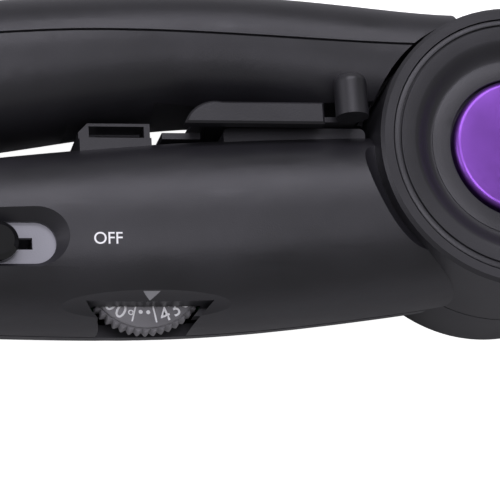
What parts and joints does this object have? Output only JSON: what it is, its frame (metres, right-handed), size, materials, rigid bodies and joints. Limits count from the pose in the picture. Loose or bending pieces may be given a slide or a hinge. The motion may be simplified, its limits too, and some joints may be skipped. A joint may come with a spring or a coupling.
{
  "type": "hair crimper",
  "caption": "Black crossed-arm hair crimper with a round purple-centred pivot hub, waved plates, a sliding handle latch, a power slider and a temperature thumb wheel.",
  "frame": {"origin": "on the pivot axis, on the flat rear face that the crimper rests on", "axes": "+X from the handles to the jaw tips, +Y from the lower handle to the upper handle, +Z from the rest plane to the front of the hub"},
  "size_m": [0.2904, 0.0605, 0.0341],
  "materials": {
    "black_shell": "satin fine grain",
    "black_trim": "satin",
    "dark_grey_trim": "matte",
    "gloss_black": "gloss",
    "pale_grey": "satin",
    "purple_badge": "anodised satin",
    "purple_plate": "ceramic coated",
    "heat_frame": "matte",
    "dial_grey": "satin",
    "steel": "brushed",
    "bronze": "turned",
    "nylon": "natural",
    "board_green": "solder mask",
    "dark_parts": "moulded",
    "heater_ceramic": "fired",
    "fuse_metal": "plain"
  },
  "bodies": {
    "fixed_arm": {"front_shell": "black_shell", "lower_handle_rear_shell": "black_shell", "hub_cap": "black_shell", "hub_badge": "purple_badge", "stop_block": "black_trim", "catch": "black_trim", "dial_bezel": "dark_grey_trim", "potentiometer": "dark_parts", "circuit_board": "board_green", "board_parts": "dark_parts", "board_screws": "steel", "switch_slot_plate": "pale_grey", "slide_switch": "dark_parts", "handle_screws": "steel", "pivot_bush": "bronze", "upper_jaw_housing": "black_shell", "upper_plate_carrier": "heat_frame", "upper_crimp_plate": "purple_plate", "upper_heater": "heater_ceramic", "upper_heater_clip": "steel", "upper_jaw_screw": "steel", "thermal_fuse": "fuse_metal", "thermistor": "dark_parts"},
    "moving_arm": {"upper_handle_body": "black_shell", "upper_handle_cover": "black_shell", "cover_screws": "steel", "pivot_axle": "steel", "head_washer": "steel", "thrust_washer": "nylon", "pivot_nut": "steel", "rear_hub_cap": "black_shell", "latch_guide": "black_trim", "lower_jaw_housing": "black_shell", "lower_plate_carrier": "heat_frame", "lower_crimp_plate": "purple_plate", "lower_heater": "heater_ceramic", "lower_heater_clip": "steel", "lower_jaw_screw": "steel"},
    "latch": {"latch_slide": "black_trim", "latch_knob": "black_trim"},
    "slider": {"power_slider": "gloss_black"},
    "dial": {"temperature_dial": "dial_grey", "dial_shaft": "steel"},
    "swivel": {"cord_swivel": "black_shell"}
  },
  "joints": [
    {"name": "arm_pivot", "type": "hinge", "parent": "fixed_arm", "child": "moving_arm", "pos_m": [0, 0, 0.014], "axis": [0, 0, -1], "range_deg": [0, 20]},
    {"name": "latch_travel", "type": "slide", "parent": "moving_arm", "child": "latch", "axis": [-1, 0, 0], "range_m": [0, 0.006]},
    {"name": "power_switch", "type": "slide", "parent": "fixed_arm", "child": "slider", "axis": [1, 0, 0], "range_m": [0, 0.0054]},
    {"name": "dial_turn", "type": "hinge", "parent": "fixed_arm", "child": "dial", "pos_m": [-0.0642, -0.0184, 0.0189], "axis": [0, 0, 1], "range_deg": [-40, 230]},
    {"name": "cord_swivel_turn", "type": "hinge", "parent": "fixed_arm", "child": "swivel", "pos_m": [-0.16, -0.0145, 0.016], "axis": [1, 0, 0], "continuous": true}
  ]
}
